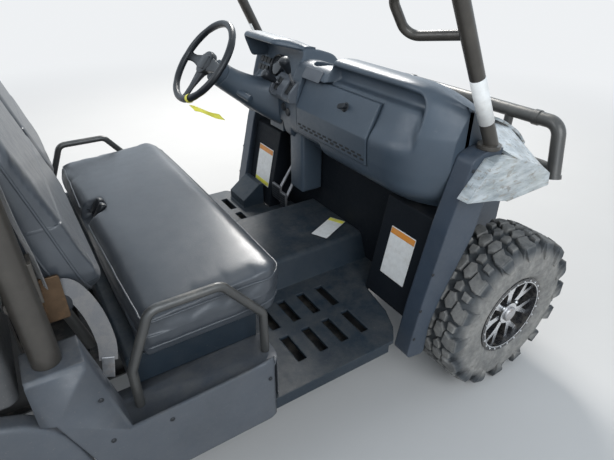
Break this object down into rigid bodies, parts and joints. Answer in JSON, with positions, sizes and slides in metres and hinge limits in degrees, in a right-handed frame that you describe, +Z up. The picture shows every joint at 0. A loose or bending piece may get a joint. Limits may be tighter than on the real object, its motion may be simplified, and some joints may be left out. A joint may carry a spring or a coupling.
{
  "type": "side by side utility vehicle",
  "caption": "Open side by side utility vehicle with a bench seat, roll cage, patterned hood and fenders, brush guard and tilting cargo box.",
  "frame": {"origin": "on the ground, half way along the vehicle's length, on its centre plane", "axes": "+X forward, +Y to the driver's side (left), +Z up"},
  "size_m": [3.1299, 1.565, 1.905],
  "materials": {
    "tyre_rubber": "matte, dusty",
    "wheel_finish": "machined faces on a black wheel",
    "chassis_paint": "satin black",
    "cage_paint": "satin dark olive brown",
    "dark_plastic": "fine grain, dusty",
    "body_panel": "pale mottled pattern under clear film",
    "seat_vinyl": "soft grained vinyl",
    "lamp_lens": "clear lens",
    "tail_lens": "red lens",
    "bare_steel": "dull",
    "casting": "rough"
  },
  "bodies": {
    "chassis": {"frame_rails": "chassis_paint", "floor_pan": "dark_plastic", "firewall": "dark_plastic", "front_arch_panels": "dark_plastic", "dashboard": "dark_plastic", "instrument_pod": "dark_plastic", "gear_levers": "dark_plastic", "steering_column": "dark_plastic", "pedals": "bare_steel", "seat_base": "dark_plastic", "seat_cushion": "seat_vinyl", "backrest_driver": "seat_vinyl", "backrest_passenger": "seat_vinyl", "seat_frame": "cage_paint", "seat_side_rails": "cage_paint", "side_panels": "dark_plastic", "roll_cage": "cage_paint", "brush_guard": "cage_paint", "nose": "dark_plastic", "front_fenders": "body_panel", "headlights": "lamp_lens", "rear_fenders": "dark_plastic", "engine": "casting", "drivetrain": "casting", "suspension_arms": "chassis_paint", "shock_absorbers": "bare_steel", "rear_knuckles": "casting"},
    "glovebox_lid": {"glovebox_door": "dark_plastic"},
    "wheel_turned_by_hand": {"steering_wheel": "dark_plastic"},
    "rack_bar": {"steering_rack": "bare_steel"},
    "hood_lid": {"hood": "body_panel"},
    "bed": {"cargo_box": "dark_plastic", "tail_lights": "tail_lens"},
    "gate": {"tailgate": "dark_plastic"},
    "knuckle_left": {"front_knuckle_left": "casting"},
    "knuckle_right": {"front_knuckle_right": "casting"},
    "front_wheel_left": {"front_tyre_left": "tyre_rubber", "front_rim_left": "wheel_finish"},
    "front_wheel_right": {"front_tyre_right": "tyre_rubber", "front_rim_right": "wheel_finish"},
    "rear_wheel_left": {"rear_tyre_left": "tyre_rubber", "rear_rim_left": "wheel_finish"},
    "rear_wheel_right": {"rear_tyre_right": "tyre_rubber", "rear_rim_right": "wheel_finish"}
  },
  "joints": [
    {"name": "bed_tilt", "type": "hinge", "parent": "chassis", "child": "bed", "pos_m": [-1.36, 0, 0.742], "axis": [0, -1, 0], "range_deg": [0, 45]},
    {"name": "tailgate_hinge", "type": "hinge", "parent": "bed", "child": "gate", "pos_m": [-1.558, 0, 0.797], "axis": [0, -1, 0], "range_deg": [0, 90]},
    {"name": "hood_hinge", "type": "hinge", "parent": "chassis", "child": "hood_lid", "pos_m": [1.345, 0, 0.885], "axis": [0, 1, 0], "range_deg": [0, 50]},
    {"name": "glovebox_hinge", "type": "hinge", "parent": "chassis", "child": "glovebox_lid", "pos_m": [0.62, 0, 0.916], "axis": [0, -1, 0], "range_deg": [0, 75]},
    {"name": "steer_left", "type": "hinge", "parent": "chassis", "child": "knuckle_left", "pos_m": [1.065, 0.583, 0.33], "axis": [0, 0, 1], "range_deg": [-28, 28]},
    {"name": "steer_right", "type": "hinge", "parent": "chassis", "child": "knuckle_right", "pos_m": [1.065, -0.583, 0.33], "axis": [0, 0, 1], "range_deg": [-28, 28]},
    {"name": "front_wheel_left_spin", "type": "hinge", "parent": "knuckle_left", "child": "front_wheel_left", "pos_m": [1.065, 0.6675, 0.33], "axis": [0, 1, 0], "continuous": true},
    {"name": "front_wheel_right_spin", "type": "hinge", "parent": "knuckle_right", "child": "front_wheel_right", "pos_m": [1.065, -0.6675, 0.33], "axis": [0, 1, 0], "continuous": true},
    {"name": "rear_wheel_left_spin", "type": "hinge", "parent": "chassis", "child": "rear_wheel_left", "pos_m": [-0.945, 0.6425, 0.33], "axis": [0, 1, 0], "continuous": true},
    {"name": "rear_wheel_right_spin", "type": "hinge", "parent": "chassis", "child": "rear_wheel_right", "pos_m": [-0.945, -0.6425, 0.33], "axis": [0, 1, 0], "continuous": true},
    {"name": "steering_wheel_turn", "type": "hinge", "parent": "chassis", "child": "wheel_turned_by_hand", "pos_m": [0.334, 0.342, 1.171], "axis": [-0.7615, 0, 0.6481], "range_deg": [-272, 272]},
    {"name": "rack_slide", "type": "slide", "parent": "chassis", "child": "rack_bar", "axis": [0, 1, 0], "range_m": [-0.045, 0.045]}
  ],
  "couplings": [
    {"joint": "steer_right", "follows": "steer_left", "ratio": 1},
    {"joint": "steering_wheel_turn", "follows": "steer_left", "ratio": 9.6},
    {"joint": "rack_slide", "follows": "steer_left", "m_per_rad": -0.088}
  ]
}
